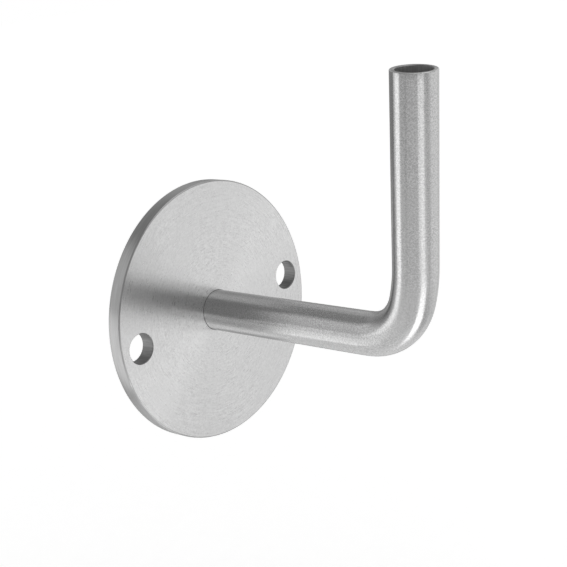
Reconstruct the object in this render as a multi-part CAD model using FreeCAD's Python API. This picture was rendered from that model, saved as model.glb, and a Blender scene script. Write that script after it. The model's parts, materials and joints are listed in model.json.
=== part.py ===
import FreeCAD, Part
import math
import os

# Wall bracket for a handrail, in stainless steel.
#
# A round plate is screwed to the wall. A tube arm stands straight out of the plate's middle,
# bends upward and ends in an open mouth under the rail. The arm sits in a hole through the
# plate and is welded to it from the wall side, in a groove, so the front stays clean.
#
# Frame: the origin is the middle of the plate's wall face. The wall is at y > 0, the arm runs
# out along -Y, +Z is up, and the arm's centre-line lies in the plane x = 0. Millimetres.

# ---- wall plate ---------------------------------------------------------------------------
disc_diameter = 80.0
disc_thickness = 4.7
disc_front_edge_radius = 0.4
disc_back_edge_radius = 0.3

# ---- screw holes --------------------------------------------------------------------------
screw_hole_diameter = 9.0
screw_hole_to_rim = 3.0       # metal left between a screw hole and the plate's rim
screw_count = 2
screw_line_tilt = 2.5         # degrees: the first hole stands this far above the +X direction
screw_hole_edge_break = 0.2

# ---- arm ----------------------------------------------------------------------------------
arm_diameter = 12.5
arm_wall = 1.25
arm_reach = 79.5              # wall face to the point where the two legs' centre-lines cross
arm_rise = 73.0               # level leg's centre-line up to the middle of the open mouth
arm_turn = 84.0               # degrees: short of a right angle, so the upright leans outward
bend_radius = 16.4            # centre-line radius of the tight middle of the bend
bend_easing_radius = 46.5     # centre-line radius where the bend runs into the legs
easing_turn_in = 3.9          # degrees of the turn made before the tight middle
easing_turn_out = 12.7        # degrees of the turn made after it
arm_mouth_edge_radius = 0.25
arm_mouth_bore_break = 0.2

# ---- joint of arm and plate ---------------------------------------------------------------
arm_hole_clearance = 0.1      # radial gap between the arm and the hole it sits in
arm_hole_edge_break = 0.12
arm_setback = 0.7             # the arm's wall end stops this far short of the wall face
weld_groove_width = 2.2       # from the arm's surface, measured on the wall face
weld_groove_depth = 2.0
weld_edge_drop = 0.4          # the weld meets the groove's side this far below the wall face
weld_crown_drop = 0.2         # the top of the bead stays this far below the wall face

RIGHT_ANGLE = 90

disc_radius = disc_diameter / 2
screw_circle_diameter = disc_diameter - screw_hole_diameter - 2 * screw_hole_to_rim
arm_radius = arm_diameter / 2
arm_bore_radius = arm_radius - arm_wall
arm_hole_radius = arm_radius + arm_hole_clearance


def point(y, z, x=0.0):
    """A point or direction; most of the part lies in the plane x = 0."""
    return FreeCAD.Vector(x, y, z)


TOWARDS_WALL = point(1, 0)


def rod(radius, y_from, y_to, x=0.0, z=0.0):
    """Solid cylinder along Y from y_from to y_to."""
    start = point(min(y_from, y_to), z, x)
    return Part.makeCylinder(radius, abs(y_to - y_from), start, TOWARDS_WALL)


def cone(radius_from, radius_to, y_from, y_to, x=0.0, z=0.0):
    """Solid cone along Y; y_to is nearer the wall than y_from."""
    return Part.makeCone(radius_from, radius_to, y_to - y_from, point(y_from, z, x), TOWARDS_WALL)


def turned(section):
    """Solid of revolution round the arm's level axis, from edges in the plane x = 0."""
    face = Part.Face(Part.Wire(section))
    return face.revolve(point(0, 0), TOWARDS_WALL, 360)


# ---- wall plate ---------------------------------------------------------------------------
def make_wall_disc():
    """Round plate from its turned outline, with screw holes, arm hole and weld groove."""
    front = -disc_thickness
    front_r = disc_front_edge_radius
    back_r = disc_back_edge_radius
    corner = math.sqrt(0.5)
    front_mid = point(front + front_r * (1 - corner), disc_radius - front_r * (1 - corner))
    back_mid = point(-back_r * (1 - corner), disc_radius - back_r * (1 - corner))
    face_end = point(front, disc_radius - front_r)
    rim_front = point(front + front_r, disc_radius)
    rim_back = point(-back_r, disc_radius)
    back_end = point(0, disc_radius - back_r)
    outline = [
        Part.LineSegment(point(front, 0), face_end).toShape(),
        Part.Arc(face_end, front_mid, rim_front).toShape(),
        Part.LineSegment(rim_front, rim_back).toShape(),
        Part.Arc(rim_back, back_mid, back_end).toShape(),
        Part.LineSegment(back_end, point(0, 0)).toShape(),
        Part.LineSegment(point(0, 0), point(front, 0)).toShape(),
    ]
    plate = turned(outline)

    cuts = [
        rod(arm_hole_radius, front, 0),
        cone(arm_hole_radius + arm_hole_edge_break, arm_hole_radius,
             front, front + arm_hole_edge_break),
        cone(arm_hole_radius, arm_radius + weld_groove_width, -weld_groove_depth, 0),
    ]
    hole_radius = screw_hole_diameter / 2
    broken = hole_radius + screw_hole_edge_break
    for number in range(screw_count):
        angle = math.radians(screw_line_tilt + 360 * number / screw_count)
        x = screw_circle_diameter / 2 * math.cos(angle)
        z = screw_circle_diameter / 2 * math.sin(angle)
        cuts.append(rod(hole_radius, front, 0, x, z))
        cuts.append(cone(broken, hole_radius, front, front + screw_hole_edge_break, x, z))
        cuts.append(cone(hole_radius, broken, -screw_hole_edge_break, 0, x, z))
    return plate.cut(cuts)


# ---- arm ----------------------------------------------------------------------------------
def heading(turned_by):
    """Direction of the centre-line after it has turned this many degrees up from level."""
    angle = math.radians(turned_by)
    return point(-math.cos(angle), math.sin(angle))


def arc_end(start, turned_by, radius, turn):
    """Where a centre-line arc ends that starts at this point and heading."""
    inward = heading(turned_by + RIGHT_ANGLE)
    outward = heading(turned_by + turn - RIGHT_ANGLE)
    return start + inward * radius + outward * radius


bends = [
    (bend_easing_radius, easing_turn_in),
    (bend_radius, arm_turn - easing_turn_in - easing_turn_out),
    (bend_easing_radius, easing_turn_out),
]


def bend_run():
    """The bend's end, measured from its start: all arcs laid one after another."""
    place = point(0, 0)
    turned_by = 0.0
    for radius, turn in bends:
        place = arc_end(place, turned_by, radius, turn)
        turned_by += turn
    return place


upright = heading(arm_turn)
bend_span = bend_run()
# The legs' centre-lines cross on the level leg's line, this far past the start of the bend.
crossing = -bend_span.y - bend_span.z / math.tan(math.radians(arm_turn))
bend_start = point(-(arm_reach - crossing), 0)
bend_finish = bend_start + bend_span
upright_length = (arm_rise - bend_finish.z) / upright.z
mouth = bend_finish + upright * upright_length


def ring_face(centre, direction):
    """Flat ring with the tube's outer and bore radius, square to the centre-line."""
    outer = Part.Face(Part.Wire(Part.makeCircle(arm_radius, centre, direction)))
    bore = Part.Face(Part.Wire(Part.makeCircle(arm_bore_radius, centre, direction)))
    return outer.cut(bore).Faces[0]


def make_arm():
    """Tube laid along its centre-line: level leg, three tangent bends, upright."""
    wall_end = point(-arm_setback, 0)
    pieces = [ring_face(wall_end, heading(0)).extrude(bend_start - wall_end)]
    place = bend_start
    turned_by = 0.0
    for radius, turn in bends:
        pivot = place + heading(turned_by + RIGHT_ANGLE) * radius
        section = ring_face(place, heading(turned_by))
        pieces.append(section.revolve(pivot, point(0, 0, -1), turn))
        place = arc_end(place, turned_by, radius, turn)
        turned_by += turn
    pieces.append(ring_face(place, upright).extrude(upright * upright_length))
    tube = pieces[0].multiFuse(pieces[1:]).removeSplitter()
    tube = tube.makeFillet(arm_mouth_edge_radius, mouth_rims(tube, arm_radius))
    return tube.makeChamfer(arm_mouth_bore_break, mouth_rims(tube, arm_bore_radius))


def mouth_rims(tube, radius):
    """Circles of this radius that lie round the middle of the open mouth."""
    close = arm_wall / 100
    circles = [edge for edge in tube.Edges if isinstance(edge.Curve, Part.Circle)]
    return [edge for edge in circles if edge.Curve.Center.distanceToPoint(mouth) < close
            and abs(edge.Curve.Radius - radius) < close]


# ---- weld ---------------------------------------------------------------------------------
def make_weld():
    """Ring of weld metal that fills the groove and stays below the wall face."""
    groove_slope = (arm_radius + weld_groove_width - arm_hole_radius) / weld_groove_depth
    root_inner = point(-weld_groove_depth, arm_radius)
    root_outer = point(-weld_groove_depth, arm_hole_radius)
    side_radius = arm_hole_radius + groove_slope * (weld_groove_depth - weld_edge_drop)
    bead_side = point(-weld_edge_drop, side_radius)
    bead_inner = point(-arm_setback, arm_radius)
    crown = point(-weld_crown_drop, (side_radius + arm_radius) / 2)
    section = [
        Part.LineSegment(root_inner, root_outer).toShape(),
        Part.LineSegment(root_outer, bead_side).toShape(),
        Part.Arc(bead_side, crown, bead_inner).toShape(),
        Part.LineSegment(bead_inner, root_inner).toShape(),
    ]
    return turned(section)


nodes = {
    "wall_disc": make_wall_disc(),
    "arm": make_arm(),
    "weld": make_weld(),
}

os.makedirs("parts", exist_ok=True)
for name, shape in nodes.items():
    if shape.ShapeType != "Solid":
        shape = shape.Solids[0]
    shape.exportStep("parts/" + name + ".step")
    size = shape.BoundBox
    print(name, "valid", shape.isValid(), "volume", round(shape.Volume, 1),
          "box", round(size.XLength, 2), round(size.YLength, 2), round(size.ZLength, 2))

print("bend starts at y", round(bend_start.y, 3), "ends at", round(bend_finish.y, 3),
      round(bend_finish.z, 3))
print("straight upright", round(upright_length, 3), "mouth at", round(mouth.y, 3),
      round(mouth.z, 3))
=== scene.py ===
# %% [markdown]
# # A stainless steel handrail bracket
# The real object is a round wall plate with a bent tube arm. Both are brushed stainless steel.
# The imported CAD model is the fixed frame: it gives every size and place used below, in metres.
# +Z is up, the wall is at y > 0, and the arm runs out along -Y and then up.

# %% Load the frame
import json
import math

import bmesh
import bpy
from mathutils import Matrix, Vector


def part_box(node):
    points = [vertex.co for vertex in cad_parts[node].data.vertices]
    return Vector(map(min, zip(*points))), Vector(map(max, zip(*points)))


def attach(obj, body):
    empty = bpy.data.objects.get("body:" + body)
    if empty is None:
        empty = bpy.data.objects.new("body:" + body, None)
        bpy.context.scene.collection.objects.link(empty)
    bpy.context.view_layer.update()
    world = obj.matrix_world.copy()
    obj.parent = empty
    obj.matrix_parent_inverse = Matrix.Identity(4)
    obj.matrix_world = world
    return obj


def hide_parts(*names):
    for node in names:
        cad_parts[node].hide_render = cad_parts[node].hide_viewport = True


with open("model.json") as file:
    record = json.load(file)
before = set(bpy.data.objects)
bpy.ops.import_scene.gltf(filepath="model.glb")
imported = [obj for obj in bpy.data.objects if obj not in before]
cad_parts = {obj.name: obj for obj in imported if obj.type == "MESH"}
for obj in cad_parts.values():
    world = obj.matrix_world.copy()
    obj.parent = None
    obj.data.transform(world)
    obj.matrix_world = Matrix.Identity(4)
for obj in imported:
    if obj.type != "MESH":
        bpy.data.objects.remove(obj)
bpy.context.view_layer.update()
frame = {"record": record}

MM = 0.001

# %% [markdown]
# ## Sizes taken from the frame
# The mounts in the record hold the sizes that other parts must fit: the screw circle, the screw
# holes, and the tube's outer and bore radius. The nodes' boxes give the plate's size and the tube's
# wall end. What the record doesn't hold is written where it is used: the screw line's tilt, the
# bend's arcs, the weld groove and the small edge roundings.

# %% Sizes of the plate and the tube
mounts = {mount["name"]: mount for mount in frame["record"]["mounts"]}
disc_low, disc_high = (Vector(corner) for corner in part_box("wall_disc"))
arm_high = Vector(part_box("arm")[1])
weld_low, weld_high = (Vector(corner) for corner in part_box("weld"))

disc_radius = (disc_high.x - disc_low.x) / 2
disc_front = disc_low.y
screw_circle_radius = mounts["wall_screws"]["dims"]["pcd_mm"] * MM / 2
screw_hole_radius = mounts["wall_screws"]["dims"]["hole_r_mm"] * MM
screw_count = mounts["wall_screws"]["dims"]["count"]
screw_line_tilt = math.radians(2.5)
tube_radius = mounts["rail_pin"]["dims"]["r_mm"] * MM
tube_bore_radius = mounts["rail_socket"]["dims"]["r_mm"] * MM
tube_wall_end = arm_high.y
groove_width = 2.2 * MM
groove_radius = tube_radius + groove_width
upright = Vector(mounts["rail_pin"]["axis"]).normalized()
mouth_edge_radius = 0.25 * MM
pin_length = mounts["rail_pin"]["dims"]["length_mm"] * MM
mouth = Vector(mounts["rail_pin"]["pos_m"]) + upright * (pin_length / 2 + mouth_edge_radius)
print("plate radius", disc_radius, "tube radius", tube_radius, "mouth", tuple(mouth))

# %% [markdown]
# ## One way to make every mesh
# Each piece here is made of rings of points: a turned plate edge, a bent tube and a weld bead are
# all rings joined one to the next. So one helper turns a list of rings into faces, and one more
# turns a finished bmesh into an object that rides on the frame. Edges that must stay crisp are
# marked sharp by their angle, which keeps the flat faces free of false shading.

# %% Helpers for meshes
SHARP = math.radians(24)
QUARTER_TURN = math.pi / 2


def add_rings(mesh, rings, closed=False, material=0):
    """Joins rings of bmesh points, each to the next, and gives the new faces one material."""
    faces = []
    pairs = list(zip(rings, rings[1:] + rings[:1] if closed else rings[1:]))
    for ring, following in pairs:
        for i in range(len(ring)):
            j = (i + 1) % len(ring)
            face = mesh.faces.new((ring[i], ring[j], following[j], following[i]))
            face.material_index = material
            face.smooth = True
            faces.append(face)
    return faces


def circle_points(centre, across, along, radius, count):
    """Points round a circle that lies in the plane of two unit directions."""
    steps = (2 * math.pi * i / count for i in range(count))
    return [centre + across * (radius * math.cos(a)) + along * (radius * math.sin(a)) for a in steps]


def arc(start_angle, end_angle, steps):
    """Angles of an arc, both ends included."""
    return [start_angle + (end_angle - start_angle) * i / steps for i in range(steps + 1)]


def finish_piece(mesh, name, node, materials):
    """Makes an object of the bmesh, which stands for one CAD node and rides on the frame."""
    data = bpy.data.meshes.new(name)
    bmesh.ops.recalc_face_normals(mesh, faces=mesh.faces)
    mesh.to_mesh(data)
    mesh.free()
    for material in materials:
        data.materials.append(material)
    data.set_sharp_from_angle(angle=SHARP)
    piece = bpy.data.objects.new(name, data)
    bpy.context.scene.collection.objects.link(piece)
    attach(piece, "root")
    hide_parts(node)
    print(name, len(data.polygons), "faces")


print("edges sharper than", round(math.degrees(SHARP)), "degrees stay crisp")

# %% [markdown]
# ## Nodes and colours
# Colours are written as sRGB hex, the way a colour picker shows them, and turned to the linear
# values that the shader works with. One small function adds a node, sets it and links it.

# %% Helpers for materials
def linear(hex_colour):
    """sRGB hex, such as '#A6A6A6', as linear RGBA."""
    values = [int(hex_colour[i:i + 2], 16) / 255 for i in (1, 3, 5)]
    return [v / 12.92 if v <= 0.04045 else ((v + 0.055) / 1.055) ** 2.4 for v in values] + [1.0]


def add(tree, kind, links=None, inputs=None, **settings):
    """Adds a node; links join its sockets to other nodes' outputs, and inputs set plain values."""
    node = tree.nodes.new("ShaderNode" + kind)
    for name, value in settings.items():
        setattr(node, name, value)
    for socket, value in (inputs or {}).items():
        node.inputs[socket].default_value = value
    for socket, source in (links or {}).items():
        tree.links.new(source, node.inputs[socket])
    return node


def new_material(name):
    """An empty node material and its tree, with only the output node."""
    material = bpy.data.materials.new(name)
    material.use_nodes = True
    material.node_tree.nodes.clear()
    return material, material.node_tree, add(material.node_tree, "OutputMaterial")


print("mid grey #808080 is", round(linear("#808080")[0], 3), "in linear light")

# %% [markdown]
# ## Shades that every finish shares
# Real metal is never one even grey. Each finish below starts from a noise pattern and spreads two
# shades over it. Noise keeps to the middle of its 0 to 1 range, so a wide stretch of that middle
# gives a soft pattern, and a narrow stretch gives a clear one. Polishing by hand leaves wide, faint
# clouds over that. The outward edges are painted brighter, partly as wear from handling and partly
# as a painted highlight on their roundings.

# %% Recipes for shades
SOFT = (0.3, 0.7)
CLEAR = (0.35, 0.65)
CLOUD_SHARE = 0.5
# Pointiness on flat metal and on an outward edge, and the share of painted edge brightening there
FLAT_METAL, OUTWARD_EDGE = 0.52, 0.62
EDGE_BRIGHTENING_SHARE = 0.7
COLOUR_A, COLOUR_B, COLOUR_RESULT = 6, 7, 2


def shades(tree, pattern, stretch, dark, light):
    """Two colours spread over a pattern: stretch gives the values at which each one is pure."""
    share = add(tree, "MapRange", {"Value": pattern}, {"From Min": stretch[0], "From Max": stretch[1]})
    mix = add(tree, "Mix", {"Factor": share.outputs["Result"]},
              {COLOUR_A: linear(dark), COLOUR_B: linear(light)}, data_type="RGBA")
    return mix.outputs[COLOUR_RESULT]


def clouded(tree, shade, place, width, detail, colour):
    """Wide, faint clouds of one colour over a shade, as uneven polishing leaves them."""
    cloud = add(tree, "TexNoise", {"Vector": place}, {"Scale": 1 / width, "Detail": detail})
    share = add(tree, "MapRange", {"Value": cloud.outputs["Fac"]},
                {"From Min": CLEAR[0], "From Max": CLEAR[1], "To Max": CLOUD_SHARE})
    mix = add(tree, "Mix", {"Factor": share.outputs["Result"], COLOUR_A: shade},
              {COLOUR_B: linear(colour)}, data_type="RGBA")
    return mix.outputs[COLOUR_RESULT]


def rubbed_and_highlit_edges(tree, shade, bright):
    """Outward edges painted brighter than the rest: part rubbed wear, part painted highlight."""
    # The brightening is a painted highlight along the edge roundings as well as rubbed wear.
    edge = add(tree, "NewGeometry").outputs["Pointiness"]
    share = add(tree, "MapRange", {"Value": edge},
                {"From Min": FLAT_METAL, "From Max": OUTWARD_EDGE, "To Max": EDGE_BRIGHTENING_SHARE})
    mix = add(tree, "Mix", {"Factor": share.outputs["Result"], COLOUR_A: shade},
              {COLOUR_B: linear(bright)}, data_type="RGBA")
    return mix.outputs[COLOUR_RESULT]


print("noise is stretched from", SOFT, "for soft marks and from", CLEAR, "for clear ones")

# %% [markdown]
# ## Places for turned marks
# The plate and its rim were brushed while they turned, so their marks run round the middle. Noise
# that is long round the circle and short along the radius draws them. It could follow a map painted
# on the mesh, but a place worked out from X, Y and Z has no seam and needs no map. A real scratch of
# a 240 grit belt is about 0.06 mm wide, too fine to show here, so it is drawn 0.45 mm wide.

# %% Places for turned marks
SCRATCH_WIDTH = 0.45 * MM
SCRATCH_DEPTH = 0.02 * MM


def plate_place(tree):
    """A point's place across the plate's face, its distance from the middle, and its depth."""
    parts = add(tree, "SeparateXYZ", {"Vector": add(tree, "TexCoord").outputs["Object"]})
    across = add(tree, "CombineXYZ", {"X": parts.outputs["X"], "Z": parts.outputs["Z"]})
    radius = add(tree, "VectorMath", {"Vector": across.outputs["Vector"]}, operation="LENGTH")
    return across.outputs["Vector"], radius.outputs["Value"], parts.outputs["Y"]


def turned_place(tree, width, turn):
    """Noise place for marks that run round the Y axis: one width across, and one turn long."""
    across, radius, depth = plate_place(tree)
    direction = add(tree, "VectorMath", {"Vector": across}, operation="NORMALIZE").outputs["Vector"]
    round_it = add(tree, "VectorMath", {"Vector": direction}, {"Scale": 1 / turn}, operation="SCALE")
    outward = add(tree, "Math", {0: radius, 1: depth}, operation="ADD").outputs[0]
    rows = add(tree, "Math", {0: outward}, {1: 1 / width}, operation="MULTIPLY").outputs[0]
    rise = add(tree, "CombineXYZ", {"Y": rows}).outputs["Vector"]
    place = add(tree, "VectorMath", {0: round_it.outputs["Vector"], 1: rise}, operation="ADD")
    return place.outputs["Vector"]


print("scratches are drawn", round(SCRATCH_WIDTH / MM, 2), "mm wide")

# %% [markdown]
# ## Brushed stainless steel on the plate
# Light spreads across the scratches and stays sharp along them: the arm's reflection runs out to
# the rim as a soft band, and faint bright rays start at the middle. A shader with an even gloss
# could only blur both ways alike, so this one is anisotropic. The real speckle between the scratches
# is finer than they are, and is drawn 0.5 mm wide so that it shows. On the wall side the weld's heat
# left straw and brown tints.

# %% Brushed plate material
PLATE_SCRATCH_TURN = 0.12
PLATE_SPECKLE = 0.5 * MM
PLATE_CLOUD = 14 * MM
TINT_WIDTH = 4 * MM
TINT_SHARE = 0.75
ACROSS_THE_TANGENT = 0.25


def heat_tint(tree, shade):
    """Straw and brown tints round the weld groove, only on the wall side of the plate."""
    _, radius, depth = plate_place(tree)
    wall_side = add(tree, "MapRange", {"Value": depth},
                    {"From Min": disc_front / 2, "From Max": disc_front / 4}).outputs["Result"]
    near = add(tree, "MapRange", {"Value": radius},
               {"From Min": groove_radius, "From Max": groove_radius + TINT_WIDTH,
                "To Min": TINT_SHARE, "To Max": 0.0}).outputs["Result"]
    share = add(tree, "Math", {0: near, 1: wall_side}, operation="MULTIPLY").outputs[0]
    tint = shades(tree, radius, (groove_radius, groove_radius + TINT_WIDTH / 2), "#7F7A86", "#B49A6C")
    mix = add(tree, "Mix", {"Factor": share, COLOUR_A: shade, COLOUR_B: tint}, data_type="RGBA")
    return mix.outputs[COLOUR_RESULT]


def brushed_plate():
    """Satin grey with faint rays; reflections are sharp along the scratches and blur across them."""
    material, tree, output = new_material("brushed stainless steel, turned grain")
    place = add(tree, "TexCoord").outputs["Object"]
    grain = add(tree, "TexNoise", {"Vector": turned_place(tree, SCRATCH_WIDTH, PLATE_SCRATCH_TURN)},
                {"Scale": 1.0, "Detail": 2.0, "Roughness": 0.6}).outputs["Fac"]
    speckle = add(tree, "TexNoise", {"Vector": place}, {"Scale": 1 / PLATE_SPECKLE, "Detail": 1.0})
    both = add(tree, "Math", {0: grain, 1: speckle.outputs["Fac"]}, operation="ADD").outputs[0]
    shade = shades(tree, both, (2 * CLEAR[0], 2 * CLEAR[1]), "#BCBCBC", "#D4D4D4")
    shade = clouded(tree, shade, place, PLATE_CLOUD, 2.0, "#C8C8C8")
    bump = add(tree, "Bump", {"Height": grain}, {"Strength": 0.03, "Distance": SCRATCH_DEPTH})
    tangent = add(tree, "Tangent", direction_type="RADIAL", axis="Y")
    roughness = add(tree, "MapRange", {"Value": grain}, {"To Min": 0.24, "To Max": 0.34})
    steel = add(tree, "BsdfPrincipled",
                {"Base Color": heat_tint(tree, shade), "Normal": bump.outputs["Normal"],
                 "Tangent": tangent.outputs["Tangent"], "Roughness": roughness.outputs["Result"]},
                {"Metallic": 1.0, "Anisotropic": 0.9, "Anisotropic Rotation": ACROSS_THE_TANGENT})
    tree.links.new(steel.outputs["BSDF"], output.inputs["Surface"])
    return material


plate_face = brushed_plate()
print("made", plate_face.name)

# %% [markdown]
# ## The cut edges of the plate
# The rim was turned, and the screw holes were cut by laser and only deburred. The rim takes the same
# turned grain, a little rougher, and its edges are painted brighter, partly as rubbed wear and partly
# as a painted highlight. The hole walls are duller and darker. The lines that the laser leaves run
# straight through the plate. They are 0.1 to 0.3 mm apart, and are drawn 0.35 mm apart so that they show.

# %% Rim and hole wall materials
RIM_SCRATCH_TURN = 0.2
CUT_LINE_WIDTH = 0.35 * MM
CUT_LINE_LENGTH = 6 * MM
CUT_LINE_DEPTH = 0.04 * MM


def turned_rim():
    """A plain grey band with one soft streak, and a brighter line painted along its edges as wear and
    highlight.
    """
    material, tree, output = new_material("turned stainless steel rim")
    grain = add(tree, "TexNoise", {"Vector": turned_place(tree, SCRATCH_WIDTH, RIM_SCRATCH_TURN)},
                {"Scale": 1.0, "Detail": 2.0}).outputs["Fac"]
    # Its edges are painted brighter: rubbed wear and a painted highlight on the roundings.
    shade = rubbed_and_highlit_edges(tree, shades(tree, grain, SOFT, "#969696", "#A6A6A6"), "#D2D2D2")
    bump = add(tree, "Bump", {"Height": grain}, {"Strength": 0.1, "Distance": SCRATCH_DEPTH})
    tangent = add(tree, "Tangent", direction_type="RADIAL", axis="Y")
    roughness = add(tree, "MapRange", {"Value": grain}, {"To Min": 0.26, "To Max": 0.36})
    steel = add(tree, "BsdfPrincipled",
                {"Base Color": shade, "Normal": bump.outputs["Normal"],
                 "Tangent": tangent.outputs["Tangent"], "Roughness": roughness.outputs["Result"]},
                {"Metallic": 1.0, "Anisotropic": 0.6, "Anisotropic Rotation": ACROSS_THE_TANGENT})
    tree.links.new(steel.outputs["BSDF"], output.inputs["Surface"])
    return material


def cut_wall():
    """Dull and dark, with fine lines straight through the plate."""
    material, tree, output = new_material("laser cut stainless steel")
    lines = add(tree, "VectorMath", {0: add(tree, "TexCoord").outputs["Object"]},
                {1: (1 / CUT_LINE_WIDTH, 1 / CUT_LINE_LENGTH, 1 / CUT_LINE_WIDTH)},
                operation="MULTIPLY").outputs["Vector"]
    grain = add(tree, "TexNoise", {"Vector": lines}, {"Scale": 1.0, "Detail": 2.0}).outputs["Fac"]
    bump = add(tree, "Bump", {"Height": grain}, {"Strength": 0.3, "Distance": CUT_LINE_DEPTH})
    roughness = add(tree, "MapRange", {"Value": grain}, {"To Min": 0.38, "To Max": 0.52})
    steel = add(tree, "BsdfPrincipled",
                {"Base Color": shades(tree, grain, SOFT, "#6E6E6E", "#868686"),
                 "Normal": bump.outputs["Normal"], "Roughness": roughness.outputs["Result"]},
                {"Metallic": 1.0})
    tree.links.new(steel.outputs["BSDF"], output.inputs["Surface"])
    return material


plate_rim = turned_rim()
hole_wall = cut_wall()
print("made", plate_rim.name, "and", hole_wall.name)

# %% [markdown]
# ## The wall plate
# The plate is a turned disc with three holes. Each edge is a short run of rings: the big rim with its
# roundings, the screw holes with broken edges, and the arm's hole, which opens into the weld groove
# at the back. The two flat faces are filled between the outer ring and the hole rings. A Boolean cut
# would do too, but rings keep every edge evenly divided.

# %% Profiles of the plate
RIM_STEPS = 240
HOLE_STEPS = 72
ARM_HOLE_STEPS = 96
FRONT_ROUNDING_STEPS = 8
BACK_ROUNDING_STEPS = 6
front_rounding = 0.4 * MM
back_rounding = 0.3 * MM
hole_edge_break = 0.2 * MM
arm_hole_gap = 0.04 * MM
arm_hole_radius = tube_radius + arm_hole_gap
arm_hole_break = 0.06 * MM
groove_depth = 2.0 * MM
disc_back = disc_high.y

rim_profile = [(disc_radius - front_rounding + front_rounding * math.sin(a),
                disc_front + front_rounding - front_rounding * math.cos(a))
               for a in arc(0, QUARTER_TURN, FRONT_ROUNDING_STEPS)]
rim_profile += [(disc_radius - back_rounding + back_rounding * math.cos(a),
                 disc_back - back_rounding + back_rounding * math.sin(a))
                for a in arc(0, QUARTER_TURN, BACK_ROUNDING_STEPS)]
screw_profile = [(screw_hole_radius + hole_edge_break, disc_front),
                 (screw_hole_radius, disc_front + hole_edge_break),
                 (screw_hole_radius, disc_back - hole_edge_break),
                 (screw_hole_radius + hole_edge_break, disc_back)]
arm_hole_profile = [(arm_hole_radius + arm_hole_break, disc_front),
                    (arm_hole_radius, disc_front + arm_hole_break),
                    (arm_hole_radius, disc_back - groove_depth),
                    (groove_radius, disc_back)]
print(len(rim_profile), "rings round the rim")

# %% [markdown]
# ## Rings and flat faces
# Each profile is turned round its own centre: the rim and the arm's hole round the plate's middle,
# and each screw hole round its place on the screw circle. Only the walls come from rings. What is
# left is the two flat faces, and one fill between all their borders makes each of them.

# %% Build the plate
def profile_rings(mesh, profile, centre, count):
    """One ring for each radius and depth of a profile, round a centre in the plate."""
    rings = []
    for radius, depth in profile:
        middle = Vector((centre[0], depth, centre[1]))
        points = circle_points(middle, Vector((1, 0, 0)), Vector((0, 0, 1)), radius, count)
        rings.append([mesh.verts.new(point) for point in points])
    return rings


def ring_edges(mesh, ring):
    """The edges of one ring, in order."""
    return [mesh.edges.get((ring[i], ring[(i + 1) % len(ring)])) for i in range(len(ring))]


plate = bmesh.new()
edges = [profile_rings(plate, rim_profile, (0, 0), RIM_STEPS)]
add_rings(plate, edges[0], material=1)
for number in range(screw_count):
    angle = screw_line_tilt + 2 * math.pi * number / screw_count
    centre = (screw_circle_radius * math.cos(angle), screw_circle_radius * math.sin(angle))
    edges.append(profile_rings(plate, screw_profile, centre, HOLE_STEPS))
    add_rings(plate, edges[-1], material=2)
edges.append(profile_rings(plate, arm_hole_profile, (0, 0), ARM_HOLE_STEPS))
add_rings(plate, edges[-1], material=2)
for side in (0, -1):
    border = [edge for rings in edges for edge in ring_edges(plate, rings[side])]
    filled = bmesh.ops.triangle_fill(plate, use_beauty=True, use_dissolve=False, edges=border)
    for face in filled["geom"]:
        if isinstance(face, bmesh.types.BMFace):
            face.material_index = 0
            face.smooth = False
finish_piece(plate, "wall_plate", "wall_disc", [plate_face, plate_rim, hole_wall])

# %% [markdown]
# ## Ground and polished tube
# The tube was belt ground as it turned, so its fine scratches run round it. Reflections stay sharp
# round the tube and smear along it, which draws the long straight streaks. The scratches need a place
# on the tube as if it were straight, so each point of the mesh carries that place as an attribute.
# These marks are finer than 0.1 mm on the real tube, and are drawn coarser so that they show.

# %% Tube material
TUBE_SCRATCH_LENGTH = 3 * MM
TUBE_SPECKLE = 0.42 * MM
TUBE_CLOUD = 12 * MM


def ground_tube():
    """Long bright and dark streaks along the tube, under a fine speckle."""
    material, tree, output = new_material("ground stainless steel tube")
    straight = add(tree, "Attribute", attribute_name="straight_place").outputs["Vector"]
    place = add(tree, "VectorMath", {0: straight},
                {1: (1 / TUBE_SCRATCH_LENGTH, 1 / SCRATCH_WIDTH, 1 / TUBE_SCRATCH_LENGTH)},
                operation="MULTIPLY").outputs["Vector"]
    grain = add(tree, "TexNoise", {"Vector": place},
                {"Scale": 1.0, "Detail": 2.0, "Roughness": 0.6}).outputs["Fac"]
    speckle = add(tree, "TexNoise", {"Vector": straight}, {"Scale": 1 / TUBE_SPECKLE, "Detail": 1.0})
    shade = shades(tree, speckle.outputs["Fac"], CLEAR, "#A8A8A8", "#C0C0C0")
    shade = clouded(tree, shade, straight, TUBE_CLOUD, 1.0, "#B4B4B4")
    bump = add(tree, "Bump", {"Height": grain}, {"Strength": 0.04, "Distance": SCRATCH_DEPTH})
    tangent = add(tree, "Tangent", direction_type="UV_MAP", uv_map="round_and_along")
    roughness = add(tree, "MapRange", {"Value": grain}, {"To Min": 0.20, "To Max": 0.26})
    steel = add(tree, "BsdfPrincipled",
                {"Base Color": shade, "Normal": bump.outputs["Normal"],
                 "Tangent": tangent.outputs["Tangent"], "Roughness": roughness.outputs["Result"]},
                {"Metallic": 1.0, "Anisotropic": 0.9, "Anisotropic Rotation": ACROSS_THE_TANGENT})
    tree.links.new(steel.outputs["BSDF"], output.inputs["Surface"])
    return material


tube_outside = ground_tube()
print("made", tube_outside.name)

# %% [markdown]
# ## Inside and mouth of the tube
# Inside, the tube keeps the dull surface of the drawing die, with lines along it. The mouth was sawn
# and deburred, which leaves marks across the ring. The tube's own finish could cover both, but a bore
# and a cut end are duller than the outside, so each has a finish of its own. Their marks too are
# drawn coarser than real ones.

# %% Inside and mouth materials
DRAWN_LINE_WIDTH = 0.5 * MM
DRAWN_LINE_LENGTH = 12 * MM
DRAWN_LINE_DEPTH = 0.05 * MM
SAW_MARK_WIDTH = 0.25 * MM
SAW_MARK_LENGTH = 5 * MM
SAW_MARK_DEPTH = 0.03 * MM


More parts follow.
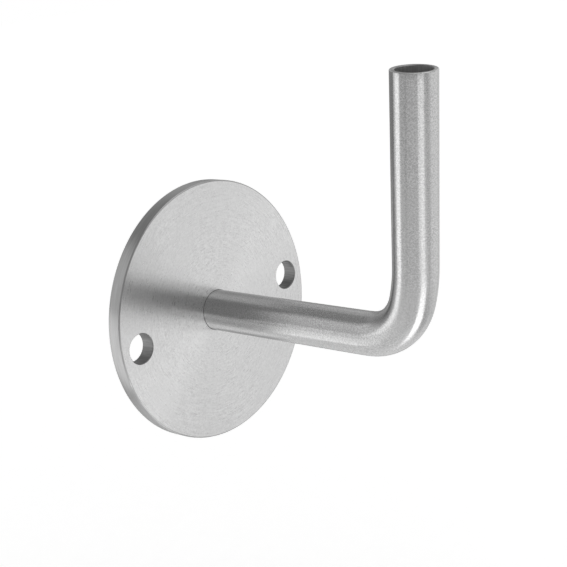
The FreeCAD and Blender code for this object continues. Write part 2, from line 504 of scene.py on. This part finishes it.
def drawn_inside():
    """A dull grey with fine lines along the tube."""
    material, tree, output = new_material("drawn stainless steel, tube inside")
    straight = add(tree, "Attribute", attribute_name="straight_place").outputs["Vector"]
    place = add(tree, "VectorMath", {0: straight},
                {1: (1 / DRAWN_LINE_WIDTH, 1 / DRAWN_LINE_LENGTH, 1 / DRAWN_LINE_WIDTH)},
                operation="MULTIPLY").outputs["Vector"]
    grain = add(tree, "TexNoise", {"Vector": place}, {"Scale": 1.0, "Detail": 2.0}).outputs["Fac"]
    bump = add(tree, "Bump", {"Height": grain}, {"Strength": 0.2, "Distance": DRAWN_LINE_DEPTH})
    roughness = add(tree, "MapRange", {"Value": grain}, {"To Min": 0.48, "To Max": 0.6})
    steel = add(tree, "BsdfPrincipled",
                {"Base Color": shades(tree, grain, SOFT, "#9C9C9C", "#B4B4B4"),
                 "Normal": bump.outputs["Normal"], "Roughness": roughness.outputs["Result"]},
                {"Metallic": 1.0})
    tree.links.new(steel.outputs["BSDF"], output.inputs["Surface"])
    return material


def sawn_mouth():
    """A darker ring with saw marks across it, and edges painted brighter as rubbed wear and highlight."""
    material, tree, output = new_material("sawn and deburred stainless steel")
    lines = add(tree, "VectorMath", {0: add(tree, "TexCoord").outputs["Object"]},
                {1: (1 / SAW_MARK_LENGTH, 1 / SAW_MARK_WIDTH, 1 / SAW_MARK_LENGTH)},
                operation="MULTIPLY").outputs["Vector"]
    grain = add(tree, "TexNoise", {"Vector": lines}, {"Scale": 1.0, "Detail": 2.0}).outputs["Fac"]
    # The mouth's edges are painted brighter: rubbed wear and a painted highlight on the rounding.
    shade = rubbed_and_highlit_edges(tree, shades(tree, grain, SOFT, "#747474", "#888888"), "#B0B0B0")
    bump = add(tree, "Bump", {"Height": grain}, {"Strength": 0.15, "Distance": SAW_MARK_DEPTH})
    tangent = add(tree, "Tangent", direction_type="UV_MAP", uv_map="round_and_along")
    roughness = add(tree, "MapRange", {"Value": grain}, {"To Min": 0.3, "To Max": 0.42})
    steel = add(tree, "BsdfPrincipled",
                {"Base Color": shade, "Normal": bump.outputs["Normal"],
                 "Tangent": tangent.outputs["Tangent"], "Roughness": roughness.outputs["Result"]},
                {"Metallic": 1.0, "Anisotropic": 0.8, "Anisotropic Rotation": ACROSS_THE_TANGENT})
    tree.links.new(steel.outputs["BSDF"], output.inputs["Surface"])
    return material


tube_inside = drawn_inside()
tube_mouth = sawn_mouth()
print("made", tube_inside.name, "and", tube_mouth.name)

# %% [markdown]
# ## The arm's centre-line
# A tube bender leaves a tight middle and two gentler ends, so the bend is three arcs that meet
# without a kink. The level leg and the upright meet it at its two ends. The crossing of the two
# straight legs follows from the mouth's place and the upright's direction.

# %% Centre-line stations
bend_radius = 16.4 * MM
easing_radius = 46.5 * MM
turn_in = math.radians(3.9)
turn_out = math.radians(12.7)
turn_all = math.atan2(upright.z, -upright.y)
bends = [(easing_radius, turn_in), (bend_radius, turn_all - turn_in - turn_out), (easing_radius, turn_out)]
ARC_STEP = math.radians(1.5)
LEG_STEP = 1.5 * MM


def heading(angle):
    """Direction of the centre-line after it has turned up by this angle from level."""
    return Vector((0, -math.cos(angle), math.sin(angle)))


def bend_stations():
    """Places and angles through the bend, measured from its start."""
    stations = [(Vector((0, 0, 0)), 0.0)]
    turned = 0.0
    for radius, turn in bends:
        pivot = stations[-1][0] + heading(turned + QUARTER_TURN) * radius
        for angle in arc(turned, turned + turn, max(2, round(turn / ARC_STEP)))[1:]:
            stations.append((pivot + heading(angle - QUARTER_TURN) * radius, angle))
        turned += turn
    return stations


crossing = mouth - upright * (mouth.z / upright.z)
bend = bend_stations()
span = bend[-1][0]
bend_start = Vector((0, crossing.y - span.y + span.z * upright.y / upright.z, 0))


def straight_stations(start, end, angle):
    """Evenly spaced places between two points, without the two ends."""
    count = max(2, round((end - start).length / LEG_STEP))
    return [(start.lerp(end, i / count), angle) for i in range(1, count)]


wall_end = Vector((0, tube_wall_end, 0))
stations = [(wall_end, 0.0)] + straight_stations(wall_end, bend_start, 0.0)
stations += [(bend_start + place, angle) for place, angle in bend]
upright_start = bend_start + span
upright_end = mouth - upright * mouth_edge_radius
stations += straight_stations(upright_start, upright_end, turn_all) + [(upright_end, turn_all)]
print(len(stations), "stations, bend from", tuple(bend_start), "to", tuple(upright_start))

# %% [markdown]
# ## The arm
# Rings follow the centre-line on the outside, roll over the mouth's rounded edge, cross its flat
# face, and run back down the bore to the wall end. Each point also keeps the place it would have on a
# straight tube, for the grain, and a map that runs once round the tube gives the grain's direction.

# %% Build the arm
TUBE_STEPS = 96
MOUTH_ROUNDING_STEPS = 6
OUTSIDE, MOUTH, INSIDE = 0, 1, 2
mouth_bore_break = 0.2 * MM

tube_rings = [(place, angle, tube_radius, OUTSIDE) for place, angle in stations]
for a in arc(0, QUARTER_TURN, MOUTH_ROUNDING_STEPS)[1:]:
    place = upright_end + upright * (mouth_edge_radius * math.sin(a))
    tube_rings.append((place, turn_all, tube_radius - mouth_edge_radius * (1 - math.cos(a)), OUTSIDE))
tube_rings.append((mouth, turn_all, tube_bore_radius + mouth_bore_break, MOUTH))
bore_top = mouth - upright * mouth_bore_break
tube_rings.append((bore_top, turn_all, tube_bore_radius, MOUTH))
below_mouth = [s for s in stations if (s[0] - bore_top).dot(upright) < -LEG_STEP / 4 or s[1] < turn_all]
tube_rings += [(place, angle, tube_bore_radius, INSIDE) for place, angle in reversed(below_mouth)]

tube = bmesh.new()
straight_place = tube.verts.layers.float_vector.new("straight_place")
rings = []
run = 0.0
for number, (place, angle, radius, _) in enumerate(tube_rings):
    inward = heading(angle + QUARTER_TURN)
    if number:
        step = place - tube_rings[number - 1][0]
        run += step.length * (1 if step.dot(heading(angle)) >= 0 else -1)
    ring = []
    for i, point in enumerate(circle_points(place, Vector((1, 0, 0)), inward, radius, TUBE_STEPS)):
        vert = tube.verts.new(point)
        turn = 2 * math.pi * i / TUBE_STEPS
        vert[straight_place] = (radius * math.cos(turn), run, radius * math.sin(turn))
        ring.append(vert)
    rings.append(ring)

uv = tube.loops.layers.uv.new("round_and_along")
for number in range(len(rings)):
    following = (number + 1) % len(rings)
    part = tube_rings[following][3] if following else MOUTH
    faces = add_rings(tube, [rings[number], rings[following]], material=part)
    for i, face in enumerate(faces):
        corners = ((i, number), (i + 1, number), (i + 1, number + 1), (i, number + 1))
        for loop, (u, v) in zip(face.loops, corners):
            loop[uv].uv = (u / TUBE_STEPS, v / len(rings))
finish_piece(tube, "tube_arm", "arm", [tube_outside, tube_mouth, tube_inside])

# %% [markdown]
# ## Weld metal
# The arm is welded to the plate from the wall side. Heat leaves the bead with straw and brown tints
# in patches, over a fine grain. Patches of two warm greys and a faint bump are enough for it, since
# the bead's own shape catches most of the light.

# %% Weld material
WELD_PATCH = 2.5 * MM
WELD_GRAIN = 0.3 * MM
WELD_GRAIN_DEPTH = 0.03 * MM


def weld_metal():
    """Small bright scales with a warm tint."""
    material, tree, output = new_material("stainless steel weld bead")
    place = add(tree, "TexCoord").outputs["Object"]
    patches = add(tree, "TexNoise", {"Vector": place},
                  {"Scale": 1 / WELD_PATCH, "Detail": 2.0}).outputs["Fac"]
    fine = add(tree, "TexNoise", {"Vector": place}, {"Scale": 1 / WELD_GRAIN, "Detail": 2.0})
    bump = add(tree, "Bump", {"Height": fine.outputs["Fac"]},
               {"Strength": 0.25, "Distance": WELD_GRAIN_DEPTH})
    roughness = add(tree, "MapRange", {"Value": patches}, {"To Min": 0.28, "To Max": 0.42})
    steel = add(tree, "BsdfPrincipled",
                {"Base Color": shades(tree, patches, CLEAR, "#9C8F7C", "#BDB8AE"),
                 "Normal": bump.outputs["Normal"], "Roughness": roughness.outputs["Result"]},
                {"Metallic": 1.0})
    tree.links.new(steel.outputs["BSDF"], output.inputs["Surface"])
    return material


bead_steel = weld_metal()
print("made", bead_steel.name)

# %% [markdown]
# ## Weld bead
# The bead is a ring with a scale pattern, like coins pushed over, because the welder adds metal in
# small steps. A bump could draw the scales, but they are wide enough to catch the light as real
# shape. So the bead's section is swept once round, and the pattern dips each step of it.

# %% Build the weld bead
SCALES = 30
SCALE_BEND = 1.2
BEAD_ACROSS = 12
BEAD_ROUND = 360
scale_height = 0.11 * MM
groove_slope = (groove_radius - arm_hole_radius) / groove_depth
bead_side_depth = -0.4 * MM
bead_side_radius = arm_hole_radius + groove_slope * (groove_depth + bead_side_depth)
bead_top = weld_high.y
bead_rise = bead_top - (bead_side_depth + tube_wall_end) / 2


def bead_outline(turn):
    """Radius and depth round the bead's section, at one turn round the arm."""
    outline = [(tube_radius, weld_low.y), (arm_hole_radius, weld_low.y)]
    for k in range(BEAD_ACROSS + 1):
        share = k / BEAD_ACROSS
        radius = bead_side_radius + (tube_radius - bead_side_radius) * share
        edge_depth = bead_side_depth + (tube_wall_end - bead_side_depth) * share
        crown = 4 * share * (1 - share)    # 0 at both edges of the bead and 1 in its middle
        bend_back = SCALE_BEND * (2 * share - 1) ** 2
        scale = 0.5 + 0.5 * math.cos(SCALES * turn + bend_back)
        dip = scale_height * (1 - scale ** 2) * crown
        outline.append((radius, edge_depth + bead_rise * crown - dip))
    return outline


bead = bmesh.new()
bead_rings = []
for i in range(BEAD_ROUND):
    turn = 2 * math.pi * i / BEAD_ROUND
    across = Vector((math.cos(turn), 0, math.sin(turn)))
    points = [across * radius + Vector((0, depth, 0)) for radius, depth in bead_outline(turn)]
    bead_rings.append([bead.verts.new(point) for point in points])
add_rings(bead, bead_rings, closed=True)
finish_piece(bead, "weld_bead", "weld", [bead_steel])

# %% [markdown]
# ## Floor and white surroundings
# A plain pale floor lies well below the bracket, which hangs free as if on its wall. Floor and world
# are white to the camera and in reflections, and the floor still takes the bracket's soft shadow.

# %% Floor and white surroundings
FLOOR_DROP = 0.9
FLOOR_SIZE = 30.0
FLOOR_GRAIN = 25 * MM
FLOOR_GLOW = 0.52
WHITE = (1, 1, 1, 1)
SOFT_LIGHT_LEVEL = 0.6
SEEN_LEVEL = 1.0


def seen_directly(tree):
    """1 for rays from the camera, from gloss and through glass, and 0 for soft light."""
    path = add(tree, "LightPath")
    first = add(tree, "Math", {0: path.outputs["Is Camera Ray"], 1: path.outputs["Is Glossy Ray"]},
                operation="MAXIMUM")
    both = add(tree, "Math", {0: first.outputs[0], 1: path.outputs["Is Transmission Ray"]},
               operation="MAXIMUM")
    return both.outputs[0]


def pale_floor():
    """Matt paint that reads as plain white and still shows a soft shadow."""
    material, tree, output = new_material("matt white floor")
    grain = add(tree, "TexNoise", {"Vector": add(tree, "TexCoord").outputs["Object"]},
                {"Scale": 1 / FLOOR_GRAIN, "Detail": 3.0}).outputs["Fac"]
    matt = add(tree, "BsdfDiffuse", {"Color": shades(tree, grain, (0.0, 1.0), "#E6E6E6", "#ECECEC")})
    level = add(tree, "MapRange", {"Value": seen_directly(tree)}, {"To Max": FLOOR_GLOW})
    glow = add(tree, "Emission", {"Strength": level.outputs["Result"]}, {"Color": WHITE})
    both = add(tree, "AddShader", {0: matt.outputs["BSDF"], 1: glow.outputs["Emission"]})
    tree.links.new(both.outputs["Shader"], output.inputs["Surface"])
    return material


floor_mesh = bmesh.new()
corners = [(-1, -1), (1, -1), (1, 1), (-1, 1)]
half = FLOOR_SIZE / 2
floor_mesh.faces.new([floor_mesh.verts.new((x * half, y * half, 0)) for x, y in corners])
floor_data = bpy.data.meshes.new("floor")
floor_mesh.to_mesh(floor_data)
floor_mesh.free()
floor_data.materials.append(pale_floor())
floor = bpy.data.objects.new("floor", floor_data)
floor.location.z = -FLOOR_DROP
bpy.context.scene.collection.objects.link(floor)

world = bpy.data.worlds.new("white surroundings")
bpy.context.scene.world = world
world.use_nodes = True
world.node_tree.nodes.clear()
sky_level = add(world.node_tree, "MapRange", {"Value": seen_directly(world.node_tree)},
                {"To Min": SOFT_LIGHT_LEVEL, "To Max": SEEN_LEVEL})
sky = add(world.node_tree, "Background", {"Strength": sky_level.outputs["Result"]}, {"Color": WHITE})
add(world.node_tree, "OutputWorld", {"Surface": sky.outputs["Background"]})
print("floor at", floor.location.z)

# %% [markdown]
# ## Grey cards and soft boxes
# Brushed metal has hardly any colour of its own: it shows what stands round it. In an all-white room
# it would look like flat grey paint. So a studio sets grey cards round it, for the darker bands, and
# a few soft boxes between them, for the bright streaks. Each one here is a bent sheet that glows
# evenly, and where two overlap, the nearer one hides the other. Blender's area lamps would add up
# there. The camera doesn't see the sheets. A sheet is given by its level next to white paper, which
# is 1, its distance in metres, and the directions that it fills as seen from the bracket, in degrees.
# Azimuth 0 is +X and 90 is the wall's side. A level under 1 makes a grey card, over 1 a soft box.

# %% Studio cards and soft boxes
MIDDLE = Vector((0, -0.03, 0.01))
CARD_STEP = 6.0    # degrees


def toward(azimuth, elevation):
    """Unit vector in a direction given in degrees."""
    a, e = math.radians(azimuth), math.radians(elevation)
    return Vector((math.cos(a) * math.cos(e), math.sin(a) * math.cos(e), math.sin(e)))


def panel(name, level, distance, azimuths, elevations):
    """A sheet bent round the bracket, between two azimuths and between two elevations."""
    across = max(2, round((azimuths[1] - azimuths[0]) / CARD_STEP))
    upward = max(2, round((elevations[1] - elevations[0]) / CARD_STEP))
    mesh = bmesh.new()
    grid = [[mesh.verts.new(MIDDLE + distance * toward(
        azimuths[0] + (azimuths[1] - azimuths[0]) * i / across,
        elevations[0] + (elevations[1] - elevations[0]) * j / upward))
        for i in range(across + 1)] for j in range(upward + 1)]
    for low, high in zip(grid, grid[1:]):
        for i in range(across):
            mesh.faces.new((low[i], low[i + 1], high[i + 1], high[i]))
    data = bpy.data.meshes.new(name)
    mesh.to_mesh(data)
    mesh.free()
    material, tree, output = new_material(name + " surface")
    glow = add(tree, "Emission", None, {"Color": WHITE, "Strength": level})
    tree.links.new(glow.outputs["Emission"], output.inputs["Surface"])
    data.materials.append(material)
    card = bpy.data.objects.new(name, data)
    card.visible_camera = False
    bpy.context.scene.collection.objects.link(card)


sheets = [
    ("strip_camera_side", 1.85, 0.88, (232, 260), (-22, -8)),
    ("box_right_front", 1.14, 0.90, (293, 345), (-32, 2)),
    ("box_low_front", 2.7, 0.80, (240, 284), (-80, -46)),
    ("strip_left", 1.92, 0.92, (117, 141), (-41, 3)),
    ("card_right_low", 0.75, 0.94, (276, 327), (-65, -39)),
    ("card_right", 0.88, 1.04, (281, 387), (-40, 18)),
    ("box_left", 1.06, 0.98, (105, 146), (-25, 43)),
    ("card_wall_dark", 0.33, 1.07, (24, 107), (-40, 12)),
    ("card_above_left", 0.38, 1.05, (60, 200), (36, 86)),
    ("strip_low_front", 2.5, 0.86, (244, 272), (-50, -30)),
    ("card_wall_side", 0.6, 1.10, (30, 123), (-14, 30)),
    ("card_low_left", 0.92, 1.02, (181, 243), (-58, -8)),
    ("box_above_right", 1.5, 1.12, (262, 350), (40, 84)),
    ("card_camera_side", 0.52, 1.16, (168, 340), (-16, 77)),
    ("card_above", 0.56, 1.24, (40, 292), (-12, 89)),
]
for sheet in sheets:
    panel(*sheet)
print(len(sheets), "cards and soft boxes")

# %% [markdown]
# ## Camera
# The camera looks down a little from the left front, close enough for some perspective. It is
# rolled a few degrees, so that the upright stands upright in the picture.

# %% Camera
CAMERA_AZIMUTH = math.radians(-46.84)
CAMERA_ELEVATION = math.radians(16.57)
CAMERA_ROLL = math.radians(-7.54)
CAMERA_DISTANCE = 0.35352
LENS = 77.64
SENSOR_WIDTH = 36
NEAR_CLIP = 0.01
AIM = Vector((-0.001299, -0.034917, 0.012006))

back = Vector((math.sin(CAMERA_AZIMUTH) * math.cos(CAMERA_ELEVATION),
               -math.cos(CAMERA_AZIMUTH) * math.cos(CAMERA_ELEVATION),
               math.sin(CAMERA_ELEVATION)))
level_right = (-back).cross(Vector((0, 0, 1))).normalized()
level_up = level_right.cross(-back)
right = level_right * math.cos(CAMERA_ROLL) + level_up * math.sin(CAMERA_ROLL)
up = level_up * math.cos(CAMERA_ROLL) - level_right * math.sin(CAMERA_ROLL)
camera_data = bpy.data.cameras.new("camera")
camera_data.lens = LENS
camera_data.sensor_width = SENSOR_WIDTH
camera_data.clip_start = NEAR_CLIP
camera = bpy.data.objects.new("camera", camera_data)
turned = Matrix((right, up, back)).transposed().to_4x4()
turned.translation = AIM + back * CAMERA_DISTANCE
camera.matrix_world = turned
bpy.context.scene.collection.objects.link(camera)
bpy.context.scene.camera = camera
print("camera at", tuple(camera.matrix_world.translation))

# %% [markdown]
# ## Colours as written
# The Standard view shows a colour as it is written, and white stays white.

# %% View and finish
bpy.context.scene.view_settings.view_transform = "Standard"
